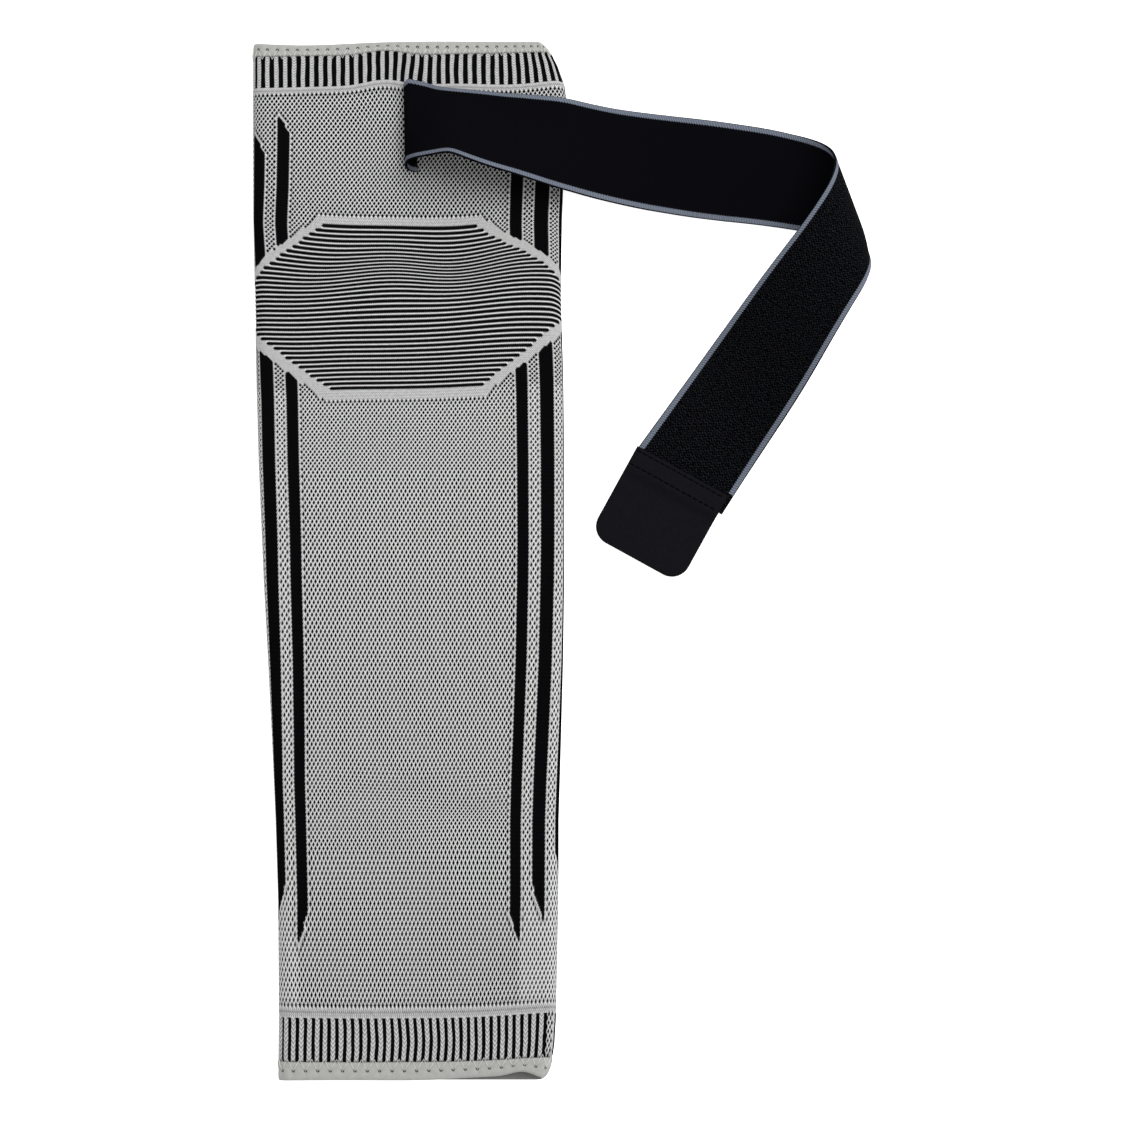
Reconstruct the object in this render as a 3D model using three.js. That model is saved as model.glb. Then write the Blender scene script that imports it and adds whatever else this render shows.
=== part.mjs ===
// A knitted knee support sleeve lying flat, with its elastic strap folded over beside it.
// X runs across the sleeve, Y along it towards the thigh end and Z up from the surface it lies on.
import * as THREE from "three";

// Sleeve: wall of knitted cloth, height of the flattened tube at its side folds, sag of the upper wall.
const WALL = 2.0;
const TUBE_HEIGHT = 14.0;
const SAG = 1.4;
const KNIT_TOP = 262.4;
const KNIT_BOTTOM = -259.6;

// Ribbed cuffs: ribs round the tube, depth of the grooves between them, share of a rib that stands up.
const RIBS = 74;
const GROOVE_DEPTH = 0.6;
const RIB_SHARE = 0.54;
const GROOVE_SLOPE = 0.06;
const CUFF_TOP_END = 247.0;
const CUFF_BOTTOM_END = -237.4;

// Knee panel: a six-sided field of slim cross ridges on the upper wall.
const KNEE_MIDDLE = -5.2;
const KNEE_TOP = 173.4;
const KNEE_BOTTOM = 90.6;
const KNEE_TOP_HALF = 41.0;
const KNEE_BOTTOM_HALF = 39.8;
const KNEE_SLANT = 1.45;
const KNEE_RIDGES = 36;
const RIDGE_HEIGHT = 0.6;
const PANEL_STEPS = 11;

// Edge bands, butted to the knit with a small gap and rounded at the mouth.
const BAND_TOP_END = 269.7;
const BAND_BOTTOM_END = -269.3;
const BAND_ROUND = 0.7;
const HEM_STEPS = 28;
const HEM_ARCH = { x: 57, reachLeft: 27, reachRight: 8, depth: 5.6 };
const FLAT_HEM = { x: 0, reachLeft: 1, reachRight: 1, depth: 0 };

// Strap of elastic webbing and the tab at its free end.
const CLEARANCE = 0.3;
const STRAP_THICK = 1.6;
const STRAP_COLUMNS = 7;
const ROOT = { width: 44.5, along: 224.1, lap: 0.6, steps: 6 };
const ROOT_UPPER = { fold: -1.8, radius: 2.0, turn: 180, rise: 3.4 };
const ROOT_LOWER = { fold: 2.6, radius: 5.5, turn: 125, rise: 4.6 };
const RUN_STEPS = 19;
const FOLD = { radius: 18.0, outX: 0.9358, outY: 0.3526, offset: 260.0, step: 5.5, leadIn: 50 };
const FOLD_WAY = { x: 150.0, y: 209.7, headingX: 0.9736, headingY: -0.2284 };
const REST = { fall: 90, length: 144, step: 13 };
const TAB = { x: 140.7, along: 47.4, dirX: -0.482, dirY: -0.876, width: 54, length: 52.4, corner: 10 };
const TAB_THICK = 1.6;
const TAB_LAP = 10.6;
const TAB_STEP = 2.6;

// Outline of the flattened sleeve seen from above: a row for each section along it.
const SECTIONS = [
  { along: -269.3, left: -70.3, right: 66.0 },
  { along: -267.9, left: -70.3, right: 68.6 },
  { along: -264.0, left: -70.2, right: 71.4 },
  { along: -253.0, left: -69.9, right: 73.6 },
  { along: -239.0, left: -69.8, right: 74.6 },
  { along: -176.0, left: -70.3, right: 75.9 },
  { along: -134.0, left: -71.6, right: 76.0 },
  { along: -93.0, left: -73.4, right: 77.3 },
  { along: -51.0, left: -75.5, right: 78.4 },
  { along: -9.0, left: -77.8, right: 79.0 },
  { along: 53.0, left: -80.4, right: 79.0 },
  { along: 94.0, left: -81.5, right: 78.5 },
  { along: 136.0, left: -82.3, right: 77.2 },
  { along: 178.0, left: -83.2, right: 77.8 },
  { along: 220.0, left: -83.3, right: 79.4 },
  { along: 244.0, left: -83.3, right: 80.0 },
  { along: 250.0, left: -83.3, right: 78.8 },
  { along: 260.0, left: -83.3, right: 75.6 },
  { along: 266.4, left: -83.2, right: 71.8 },
  { along: 269.7, left: -82.4, right: 66.8 },
];

// Shallow dents of the upper wall: their middle, reach both ways and depth.
const DENTS = [
  { x: 22, along: 148, reachX: 26, reachY: 10, depth: 1.3 },
  { x: 8, along: -127, reachX: 46, reachY: 9, depth: 1.0 },
  { x: -52, along: 238, reachX: 16, reachY: 12, depth: 0.9 },
  { x: 40, along: -210, reachX: 22, reachY: 26, depth: 0.7 },
];

// Stations along the sleeve where its wall is shaped.
const STATIONS_BELOW = [-212, -190, -160, -143, -135, -127, -119, -111, -93, -51, -9, 30, 72];
const STATIONS_ABOVE = [186, 205, 220, 230, 238];
const STATIONS_INSIDE = [
  -212, -176, -145, -136, -127, -118, -109, -51, 0, 53, 94, 128, 138, 148, 158, 168, 205, 228, 238,
];

// Way of the strap's first run: its middle seen from above, width, the height its upper edge rests at, tilt.
const RUN = [
  { x: 5.0, y: 227.1, width: 44.0, rest: 15.2, tilt: 20 },
  { x: 9.3, y: 226.5, width: 45.0, rest: 15.0, tilt: 28 },
  { x: 14.1, y: 226.3, width: 46.2, rest: 14.8, tilt: 34 },
  { x: 22.5, y: 226.2, width: 47.9, rest: 14.8, tilt: 40 },
  { x: 31.2, y: 224.3, width: 49.2, rest: 14.8, tilt: 37 },
  { x: 45.5, y: 221.3, width: 50.2, rest: 14.8, tilt: 32 },
  { x: 59.8, y: 218.9, width: 51.0, rest: 14.7, tilt: 27 },
  { x: 74.1, y: 216.4, width: 51.2, rest: 14.4, tilt: 20.5 },
  { x: 88.5, y: 213.3, width: 51.4, rest: 11.3, tilt: 18 },
  { x: 102.0, y: 210.8, width: 51.5, rest: 7.9, tilt: 15 },
  { x: 119.7, y: 208.4, width: 51.7, rest: 4.4, tilt: 10 },
  { x: 140.7, y: 206.1, width: 51.9, rest: 1.4, tilt: 4 },
];

// Spread of the strap from its fold to its end: distance past the fold line, reach to both sides.
const SPREAD = [
  { past: -50, over: 22.0, under: 30.2 },
  { past: -20, over: 25.0, under: 25.8 },
  { past: 20, over: 23.1, under: 22.6 },
  { past: 60, over: 19.3, under: 23.4 },
  { past: 95, over: 20.8, under: 25.5 },
  { past: 140, over: 21.2, under: 30.6 },
  { past: 230, over: 22.0, under: 35.2 },
];

// Read a column of a table of rows in rising order of the key, straight between rows.
function readTable(table, key, at, column) {
  let i = 0;
  while (i < table.length - 2 && at > table[i + 1][key]) i += 1;
  const share = THREE.MathUtils.clamp(
    (at - table[i][key]) / (table[i + 1][key] - table[i][key]), 0, 1);
  return THREE.MathUtils.lerp(table[i][column], table[i + 1][column], share);
}

// Section of the flattened tube: half the flat between the side folds, and its middle.
function sectionAt(along) {
  const left = readTable(SECTIONS, "along", along, "left");
  const right = readTable(SECTIONS, "along", along, "right");
  const radius = TUBE_HEIGHT / 2;
  return { middle: (left + right) / 2, flat: (right - left) / 2 - radius, radius };
}

// Height of the upper wall's outer face, with its sag and dents fading out at the side folds.
function upperFace(x, along) {
  const { middle, flat } = sectionAt(along);
  const across = THREE.MathUtils.clamp((x - middle) / flat, -1, 1);
  const fade = (1 - across * across) ** 2;
  let drop = SAG * fade;
  for (const dent of DENTS) {
    const dx = (x - dent.x) / dent.reachX;
    const dy = (along - dent.along) / dent.reachY;
    drop += dent.depth * Math.exp(-dx * dx - dy * dy) * fade;
  }
  return TUBE_HEIGHT - drop;
}

// A point of the tube wall. Place runs once round in five zones: right half of the underside,
// right fold, upper wall, left fold, left half of the underside. Inset is the depth below the outer face.
function wallPoint(place, along, inset) {
  const { middle, flat, radius } = sectionAt(along);
  const zone = Math.min(Math.floor(place), 4);
  const share = place - zone;
  if (zone === 0) return new THREE.Vector3(middle + flat * share, along, inset);
  if (zone === 4) return new THREE.Vector3(middle - flat * (1 - share), along, inset);
  if (zone === 2) {
    const x = middle + flat * (1 - 2 * share);
    return new THREE.Vector3(x, along, upperFace(x, along) - inset);
  }
  const turn = Math.PI * (zone === 1 ? share - 0.5 : share + 0.5);
  const centre = zone === 1 ? middle + flat : middle - flat;
  return new THREE.Vector3(
    centre + (radius - inset) * Math.cos(turn), along, radius + (radius - inset) * Math.sin(turn));
}

// Place on the tube reached by an even share of its whole girth.
function placeOfShare(share, along) {
  const { flat, radius } = sectionAt(along);
  const lengths = [flat, Math.PI * radius, 2 * flat, Math.PI * radius, flat];
  let run = share * lengths.reduce((sum, length) => sum + length, 0);
  let zone = 0;
  while (zone < 4 && run > lengths[zone]) {
    run -= lengths[zone];
    zone += 1;
  }
  return zone + run / lengths[zone];
}

// Place on the upper wall of a point that far to the right of the sleeve's middle, over the folds too.
function placeOfX(x, along) {
  const { middle, flat, radius } = sectionAt(along);
  const across = x - middle;
  const over = Math.min(Math.max(Math.abs(across) - flat, 0), Math.PI * radius * 0.46);
  if (over === 0) return 2.5 - across / flat / 2;
  return across > 0 ? 2 - over / (Math.PI * radius) : 3 + over / (Math.PI * radius);
}

// Places of a plain ring: few on the flat underside, more round the folds and over the upper wall.
function plainRing(along, inset, upperSteps = 14) {
  const steps = [2, 7, upperSteps, 7, 2];
  const places = steps.flatMap((count, zone) => Array.from({ length: count }, (_, i) => zone + i / count));
  return places.map((place) => ({ place, point: wallPoint(place, along, inset) }));
}

// A ring of a ribbed cuff: each rib stands at the outer face and is followed by a groove.
function ribRing(along) {
  const ring = [];
  const corners = [
    { at: GROOVE_SLOPE, inset: 0 },
    { at: RIB_SHARE, inset: 0 },
    { at: RIB_SHARE + GROOVE_SLOPE, inset: GROOVE_DEPTH },
    { at: 1, inset: GROOVE_DEPTH },
  ];
  for (let rib = 0; rib < RIBS; rib += 1) {
    for (const corner of corners) {
      const place = placeOfShare(Math.min((rib + corner.at) / RIBS, 0.9999), along);
      ring.push({ place, point: wallPoint(place, along, corner.inset) });
    }
  }
  return ring;
}

// A ring across the knee panel, raised by lift between the panel's slanted ends.
function kneeRing(along, lift) {
  const half = Math.min(
    KNEE_TOP_HALF + KNEE_SLANT * (KNEE_TOP - along),
    KNEE_BOTTOM_HALF + KNEE_SLANT * (along - KNEE_BOTTOM));
  const from = placeOfX(KNEE_MIDDLE + half, along);
  const to = placeOfX(KNEE_MIDDLE - half, along);
  const beside = [0, 0.5, 1, 1.25, 1.5, 1.75, 2, 3, 3.25, 3.5, 3.75, 4, 4.5]
    .filter((place) => place < from - 0.04 || place > to + 0.04)
    .map((place) => ({ place, point: wallPoint(place, along, 0) }));
  const panel = Array.from({ length: PANEL_STEPS + 1 }, (_, i) => {
    const place = THREE.MathUtils.lerp(from, to, i / PANEL_STEPS);
    const raised = i > 0 && i < PANEL_STEPS ? lift : 0;
    return { place, point: wallPoint(place, along, -raised) };
  });
  return [...beside, ...panel].sort((a, b) => a.place - b.place);
}

// Close a loop of rings into one skin, joining each ring to the next by their places.
function skinOfRings(rings) {
  const points = [];
  const faces = [];
  const starts = rings.map((ring) => {
    const start = points.length;
    ring.forEach((node) => points.push(node.point));
    return start;
  });
  rings.forEach((ring, r) => {
    const next = rings[(r + 1) % rings.length];
    const a = (i) => starts[r] + (i % ring.length);
    const b = (j) => starts[(r + 1) % rings.length] + (j % next.length);
    const placeA = (i) => ring[i % ring.length].place + 5 * Math.floor(i / ring.length);
    const placeB = (j) => next[j % next.length].place + 5 * Math.floor(j / next.length);
    let i = 0;
    let j = 0;
    while (i < ring.length || j < next.length) {
      const stepA = j >= next.length || (i < ring.length && placeA(i + 1) <= placeB(j + 1));
      if (stepA) {
        faces.push(a(i), b(j), a(i + 1));
        i += 1;
      } else {
        faces.push(a(i), b(j), b(j + 1));
        j += 1;
      }
    }
  });
  return { points, faces };
}

// Loft between sections, each with its upper row from one side to the other and then its lower row back.
function skinOfSections(sections) {
  const count = sections[0].length;
  const half = count / 2;
  const points = sections.flat();
  const faces = [];
  for (let s = 0; s < sections.length - 1; s += 1) {
    for (let i = 0; i < count; i += 1) {
      const p = s * count + i;
      const q = s * count + ((i + 1) % count);
      faces.push(p, p + count, q, q, p + count, q + count);
    }
  }
  const last = (sections.length - 1) * count;
  for (let i = 0; i < half - 1; i += 1) {
    const under = count - 1 - i;
    faces.push(i, i + 1, under, i + 1, under - 1, under);
    faces.push(last + i, last + under, last + i + 1, last + i + 1, last + under, last + under - 1);
  }
  return { points, faces };
}

function geometryOf(skin) {
  const geometry = new THREE.BufferGeometry();
  const numbers = skin.points.flatMap((point) => [point.x, point.y, point.z]);
  geometry.setAttribute("position", new THREE.Float32BufferAttribute(numbers, 3));
  geometry.setIndex(skin.faces);
  return geometry;
}

// Sleeve: the tube wall between the cuffs, with the knee panel's cross ridges.
function sleeve() {
  const pitch = (KNEE_TOP - KNEE_BOTTOM) / KNEE_RIDGES;
  const knee = [plainRing(KNEE_BOTTOM, 0)];
  for (let r = 0; r < KNEE_RIDGES; r += 1) {
    knee.push(kneeRing(KNEE_BOTTOM + (r + 0.5) * pitch, RIDGE_HEIGHT));
    if (r < KNEE_RIDGES - 1) knee.push(kneeRing(KNEE_BOTTOM + (r + 1) * pitch, 0));
  }
  knee.push(plainRing(KNEE_TOP, 0));
  const bottom = CUFF_BOTTOM_END + CLEARANCE;
  const outer = [
    plainRing(bottom, 0),
    ...STATIONS_BELOW.map((along) => plainRing(along, 0)),
    ...knee,
    ...STATIONS_ABOVE.map((along) => plainRing(along, 0)),
    plainRing(CUFF_TOP_END, 0),
  ];
  const inner = [bottom, ...STATIONS_INSIDE, CUFF_TOP_END].map((along) => plainRing(along, WALL));
  return geometryOf(skinOfRings([...outer, ...inner.reverse()]));
}

// Ribbed cuff: a short grooved length of the tube wall, from its lower to its upper end.
function cuff(from, to) {
  return geometryOf(skinOfRings([
    ribRing(from), ribRing(to), plainRing(to, WALL), plainRing(from, WALL),
  ]));
}

// Edge band: a short tube wall with a rounded mouth. Arch draws the upper wall's edge back by a soft curve.
function edgeBand(joint, end, arch) {
  const out = Math.sign(end);
  const rows = [
    { along: joint + out * CLEARANCE, inset: 0 },
    { along: (joint + end) / 2, inset: 0 },
    { along: end - out * BAND_ROUND, inset: 0 },
    { along: end, inset: BAND_ROUND },
    { along: end, inset: WALL - BAND_ROUND },
    { along: end - out * BAND_ROUND, inset: WALL },
    { along: (joint + end) / 2, inset: WALL },
    { along: joint + out * CLEARANCE, inset: WALL },
  ];
  const rings = rows.map((row) => plainRing(row.along, row.inset, HEM_STEPS).map((node) => {
    const beside = node.point.x - arch.x;
    const reach = beside / (beside < 0 ? arch.reachLeft : arch.reachRight);
    const share = Math.abs(row.along - joint) / Math.abs(end - joint);
    const onTop = node.place >= 2 && node.place <= 3 ? 1 : 0;
    node.point.y -= out * arch.depth * share * onTop * Math.exp(-reach * reach);
    return node;
  }));
  return geometryOf(skinOfRings(out > 0 ? rings : rings.reverse()));
}

// Strap rows from its sewn end over the roll at its root. The roll is wider and shorter at its lower side.
function rootRows() {
  const seat = (x, y) => upperFace(x, y) + CLEARANCE + STRAP_THICK / 2;
  const rowAt = (place) => Array.from({ length: STRAP_COLUMNS }, (_, c) => {
    const share = c / (STRAP_COLUMNS - 1);
    const read = (key) => THREE.MathUtils.lerp(ROOT_LOWER[key], ROOT_UPPER[key], share);
    const y = ROOT.along + (share - 0.5) * ROOT.width;
    if (place < 0) {
      const x = read("fold") + ROOT.lap;
      return new THREE.Vector3(x, y, seat(x, y));
    }
    const turn = THREE.MathUtils.degToRad(read("turn")) * place;
    return new THREE.Vector3(
      read("fold") - read("radius") * Math.sin(turn),
      y + read("rise") * place,
      seat(read("fold"), y) + read("radius") * (1 - Math.cos(turn)));
  });
  return [-1, ...Array.from({ length: ROOT.steps + 1 }, (_, s) => s / ROOT.steps)].map(rowAt);
}

// Strap rows of the first run, which stands tilted on its upper edge and comes down past the sleeve.
function runRows(firstRow) {
  const last = STRAP_COLUMNS - 1;
  const centres = [firstRow[last / 2].clone()];
  const tilts = [Math.asin((firstRow[0].z - firstRow[last].z) / ROOT.width)];
  const widths = [firstRow[0].distanceTo(firstRow[last])];
  for (const row of RUN) {
    const tilt = THREE.MathUtils.degToRad(row.tilt);
    centres.push(new THREE.Vector3(
      row.x, row.y, row.rest + STRAP_THICK / 2 + Math.sin(tilt) * row.width / 2));
    tilts.push(tilt);
    widths.push(row.width);
  }
  const way = new THREE.CatmullRomCurve3(centres, false, "centripetal");
  const rows = [];
  for (let s = 1; s <= RUN_STEPS; s += 1) {
    const t = s / RUN_STEPS;
    const centre = way.getPoint(t);
    const heading = way.getTangent(t).setZ(0).normalize();
    const knot = Math.min(Math.floor(t * RUN.length), RUN.length - 1);
    const between = (list) => THREE.MathUtils.lerp(list[knot], list[knot + 1], t * RUN.length - knot);
    const tilt = between(tilts);
    const across = new THREE.Vector3(
      -heading.y * Math.cos(tilt), heading.x * Math.cos(tilt), -Math.sin(tilt));
    rows.push(Array.from({ length: STRAP_COLUMNS }, (_, c) => centre.clone().addScaledVector(
      across, (c / last - 0.5) * between(widths))));
  }
  return rows;
}

// Strap rows that roll over the slanting fold line and lie back down to the tab.
function foldRows() {
  const start = new THREE.Vector3(FOLD_WAY.x, FOLD_WAY.y, 0);
  const heading = new THREE.Vector3(FOLD_WAY.headingX, FOLD_WAY.headingY, 0).normalize();
  const left = new THREE.Vector3(-heading.y, heading.x, 0);
  const out = new THREE.Vector3(FOLD.outX, FOLD.outY, 0).normalize();
  const toFold = (FOLD.offset - out.dot(start)) / out.dot(heading);
  const arc = Math.PI * FOLD.radius;
  const rollEnd = toFold + arc / out.dot(heading) + 12;
  const end = toFold + arc / out.dot(heading) + REST.length;
  const distances = [];
  for (let d = toFold - FOLD.leadIn; d < rollEnd; d += FOLD.step) distances.push(d);
  for (let d = rollEnd; d < end - 1; d += REST.step) distances.push(d);
  distances.push(end);
  return distances.map((distance) => Array.from({ length: STRAP_COLUMNS }, (_, c) => {
    const over = readTable(SPREAD, "past", distance - toFold, "over");
    const under = readTable(SPREAD, "past", distance - toFold, "under");
    const flat = start.clone().addScaledVector(heading, distance)
      .addScaledVector(left, THREE.MathUtils.lerp(-under, over, c / (STRAP_COLUMNS - 1)));
    const past = out.dot(flat) - FOLD.offset;
    const base = flat.clone().addScaledVector(out, -past);
    base.z = STRAP_THICK / 2;
    if (past <= 0) return base.addScaledVector(out, past);
    if (past < arc) {
      const turn = past / FOLD.radius;
      base.addScaledVector(out, FOLD.radius * Math.sin(turn));
      base.z += FOLD.radius * (1 - Math.cos(turn));
      return base;
    }
    const back = past - arc;
    base.addScaledVector(out, -back);
    base.z += 2 * FOLD.radius * (1 - THREE.MathUtils.smoothstep(back, 0, REST.fall));
    return base;
  }));
}

// Thicken a net of middle points into webbing.
function webbing(rows) {
  const at = (r, c) => rows[Math.min(Math.max(r, 0), rows.length - 1)][
    Math.min(Math.max(c, 0), STRAP_COLUMNS - 1)];
  const sections = rows.map((row, r) => {
    const upper = [];
    const lower = [];
    row.forEach((point, c) => {
      const down = at(r + 1, c).clone().sub(at(r - 1, c));
      const side = at(r, c + 1).clone().sub(at(r, c - 1));
      const normal = down.cross(side).normalize().multiplyScalar(STRAP_THICK / 2);
      upper.push(point.clone().add(normal));
      lower.unshift(point.clone().sub(normal));
    });
    return [...upper, ...lower];
  });
  return geometryOf(skinOfSections(sections));
}

function strap() {
  const root = rootRows();
  const run = runRows(root[root.length - 1]);
  return webbing([...root, ...run, ...foldRows()]);
}

// Tab: a flat plate stepped up over the strap's end, with its two free corners rounded.
function tab() {
  const lapHeight = STRAP_THICK + CLEARANCE;
  const straight = TAB.length - TAB.corner;
  const rows = [
    { at: 0, half: TAB.width / 2, low: lapHeight },
    { at: TAB_LAP, half: TAB.width / 2, low: lapHeight },
    { at: TAB_LAP + TAB_STEP, half: TAB.width / 2, low: 0 },
  ];
  for (let s = 0; s <= 6; s += 1) {
    const turn = Math.PI / 2 * s / 6;
    rows.push({
      at: straight + TAB.corner * Math.sin(turn),
      half: TAB.width / 2 - TAB.corner * (1 - Math.cos(turn)),
      low: 0,
    });
  }
  const dir = new THREE.Vector3(TAB.dirX, TAB.dirY, 0).normalize();
  const side = new THREE.Vector3(-dir.y, dir.x, 0);
  const sections = rows.map((row) => {
    const base = new THREE.Vector3(TAB.x, TAB.along, 0).addScaledVector(dir, row.at);
    const corner = (across, z) => base.clone().addScaledVector(side, across).setZ(z);
    return [
      corner(-row.half, row.low + TAB_THICK),
      corner(row.half, row.low + TAB_THICK),
      corner(row.half, row.low),
      corner(-row.half, row.low),
    ];
  });
  return geometryOf(skinOfSections(sections));
}

const group = new THREE.Group();

function addPiece(name, geometry, color, roughness) {
  const material = new THREE.MeshStandardMaterial({ color, roughness, metalness: 0 });
  const mesh = new THREE.Mesh(geometry, material);
  mesh.name = name;
  group.add(mesh);
}

addPiece("sleeve", sleeve(), 0xa8a8a8, 0.9);
addPiece("top_cuff", cuff(CUFF_TOP_END + CLEARANCE, KNIT_TOP), 0x8c8c8e, 0.9);
addPiece("bottom_cuff", cuff(KNIT_BOTTOM, CUFF_BOTTOM_END), 0x8c8c8e, 0.9);
addPiece("top_band", edgeBand(KNIT_TOP, BAND_TOP_END, FLAT_HEM), 0xb4b5ae, 0.95);
addPiece("bottom_band", edgeBand(KNIT_BOTTOM, BAND_BOTTOM_END, HEM_ARCH), 0xb0b0a8, 0.95);
addPiece("strap", strap(), 0x121216, 0.8);
addPiece("hook_tab", tab(), 0x18181c, 0.7);

export default group;
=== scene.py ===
import bmesh
import bpy
import numpy as np
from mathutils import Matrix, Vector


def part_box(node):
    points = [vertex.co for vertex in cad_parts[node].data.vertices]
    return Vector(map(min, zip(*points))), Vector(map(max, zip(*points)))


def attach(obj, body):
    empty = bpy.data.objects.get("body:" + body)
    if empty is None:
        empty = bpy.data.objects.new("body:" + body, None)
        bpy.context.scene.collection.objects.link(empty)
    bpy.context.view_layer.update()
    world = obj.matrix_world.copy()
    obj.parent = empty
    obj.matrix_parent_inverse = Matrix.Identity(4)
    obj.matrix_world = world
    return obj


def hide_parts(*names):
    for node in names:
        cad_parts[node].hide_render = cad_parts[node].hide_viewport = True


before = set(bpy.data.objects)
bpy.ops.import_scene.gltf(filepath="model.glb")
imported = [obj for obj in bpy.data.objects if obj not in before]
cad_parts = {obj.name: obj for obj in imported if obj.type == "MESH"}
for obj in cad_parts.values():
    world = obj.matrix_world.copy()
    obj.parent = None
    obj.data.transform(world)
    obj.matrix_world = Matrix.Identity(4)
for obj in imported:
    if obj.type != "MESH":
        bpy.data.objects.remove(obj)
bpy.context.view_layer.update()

# The sleeve is one tube of jersey, knitted round in light grey and black yarn and lying pressed flat.
# Black stitches sit deeper than grey ones, so ribs, knee lines and dots stand in relief.
# The mesh has one point for each stitch, and keeps with it how black the stitch is, and for a grey stitch
# how much painted shade it takes.
MM = 0.001
BAKE_MARGIN = 0.002
WALES, RIB_WALES = 296, 4
TWIST = -3.4
WALL = 2.0
EDGE_ROUND, YARN_GAP = 0.4, 0.02
KNIT_TOP = 262.4
# Sag of the upper wall, height of its ripple, and the swing of two crossing waves across and along it.
SAG, RIPPLE = 1.4, 0.18
LONG_SWING, CROSS_SWING = (9, 31), (-40, 17)
# Rows of points inside the tube, and on the chart the way to the first of them and between them.
INSIDE_ROWS, INSIDE_FROM, INSIDE_STEP = 14, 4, 2
# Stretches of the knit from its upper edge down: where each one ends, and its courses of stitches.
STRETCHES = (
    ("upper ribs", 246.2, 10),
    ("upper border", 243.2, 2),
    ("thigh", 174.5, 45),
    ("knee panel", 88.4, 74),
    ("under the knee", 47.5, 27),
    ("upper calf", 6.0, 21),
    ("calf", -97.8, 48),
    ("lower calf", -149.6, 26),
    ("shin", -231.5, 31),
    ("lower border", -236.6, 2),
    ("lower ribs", -259.6, 10),
)
# Side stripes on both halves: inner edge in wales from the middle, upper and lower tip in courses.
STRIPES = ((50.6, 19.1, 272.0), (62.1, 25.3, 266.8), (73.6, 31.5, 260.0))
STRIPE_WIDTH = 5.6
TIP_SLANT = 7.0
# Depth of the black stitches below the grey ones.
RIB_DEPTH, LINE_DEPTH, DOT_DEPTH, STRIPE_DEPTH = 0.55, 0.45, 0.28, 0.12
# Half width of the knee panel in wales at its upper and lower edge, and its growth with each course.
PANEL_LEFT = ((34.8, 1.36), (34.1, 1.39))
PANEL_RIGHT = ((35.4, 1.34), (33.6, 1.43))
# Plain border of the panel: courses over and under it, wales at the right, upper left and lower left.
BORDER_COURSES, BORDER_WALES = 3.5, (7.0, 5.5, 8.5)
# Share of black in the dots at the sides below the knee, and the wales where those sides begin.
SIDE_DOTS, SIDE_WALES = 0.8, 56
# Painted shade kept for grey stitches among grey ones, darker than the painted highlight of grey stitches
# among black ones, and the wales of a dotted strip at the lower cuff's side.
PLAIN = 0.14
SIDE_STRIP = (70.0, 74.0)
# Outline of the pressed tube seen from above: place along it, left and right edge.
OUTLINE = np.array((
    (-269.3, -70.3, 74.3),
    (-239.0, -69.8, 74.6),
    (-176.0, -70.3, 75.9),
    (-134.0, -71.6, 76.0),
    (-93.0, -73.4, 77.3),
    (-51.0, -75.5, 78.4),
    (-9.0, -77.8, 79.0),
    (53.0, -80.4, 79.0),
    (94.0, -81.5, 78.5),
    (136.0, -82.3, 77.2),
    (178.0, -83.2, 77.8),
    (220.0, -83.3, 79.4),
    (244.0, -83.3, 80.0),
    (269.7, -83.3, 80.0),
))
# Both right corners of the tube are drawn in, more and more up to their reach: place along it, how far.
CORNER_REACH, CORNER_LIMIT, CORNER_POWER = 78.0, 1.03, 5
CORNERS = np.array((
    (-269.3, 8.3),
    (-267.9, 5.8),
    (-264.0, 3.0),
    (-253.0, 0.9),
    (-239.0, 0.0),
    (240.0, 0.0),
    (246.0, 0.7),
    (250.0, 1.8),
    (256.0, 3.7),
    (260.0, 5.5),
    (264.0, 7.3),
    (267.4, 9.0),
    (269.7, 11.2),
))
# Shallow dents of the upper wall: middle, reach across and along, depth.
DENTS = (
    (22, 148, 26, 10, 1.3),
    (-8, -120, 28, 7, 1.2),
    (30, -131, 28, 7, 1.5),
    (-52, 236, 18, 12, 1.4),
    (40, -210, 22, 26, 0.9),
    (-4, -205, 14, 30, 1.0),
    (-28, 214, 12, 24, 1.5),
    (-8, 238, 12, 12, 1.2),
)
# Places where the stitches are drawn along the sleeve: middle, reach across and along, shift.
DRAWN = (
    (61, 141, 45, 35, 7.3),
    (-12, 145, 46, 19, 6.2),
    (22, 155, 30, 21, -6.0),
    (-47, 154, 41, 19, -6.0),
    (-60, 91, 19, 40, -1.0),
    (62, 88, 45, 16, 1.7),
    (-77, 161, 37, 22, 5.4),
    (-14.5, 252, 13, 18, 3.4),
    (80, 243, 66, 22, 4.0),
    (53, 244, 24, 12, -2.5),
    (-80, 246, 30, 24, -1.1),
    (84, -246, 42, 30, 4.0),
    (-74, -240, 30, 24, 0.8),
    (-4, -113, 30, 9, -1.5),
    (30, -123, 28, 9, -1.8),
    (32, -139, 28, 9, 1.2),
)
# Places where the stitches are drawn across the sleeve, in the same columns.
LEANING = (
    (0, 245, 9, 10, -1.7),
    (-34, 214, 26, 18, 1.8),
    (30, 196, 34, 16, -1.8),
    (24, 254, 18, 12, -0.9),
    (0, -250, 60, 12, 1.3),
)
# Drift of the stitches round the tube: place along it, drift at the left and at the right fold.
DRIFT = np.array((
    (-238.0, 1.9, -1.4),
    (-231.5, 0.0, -1.6),
    (-186.0, -0.5, -1.8),
    (-114.0, -0.2, -1.5),
    (-51.0, 1.5, -0.2),
    (11.0, 2.7, 0.7),
    (84.0, 3.3, 0.8),
    (105.0, 3.0, 0.6),
    (172.0, -0.8, -1.3),
    (194.0, 0.0, -1.2),
    (225.0, 0.4, -0.8),
    (246.0, 0.0, -1.3),
))
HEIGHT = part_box("bottom_band")[1].z / MM


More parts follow.
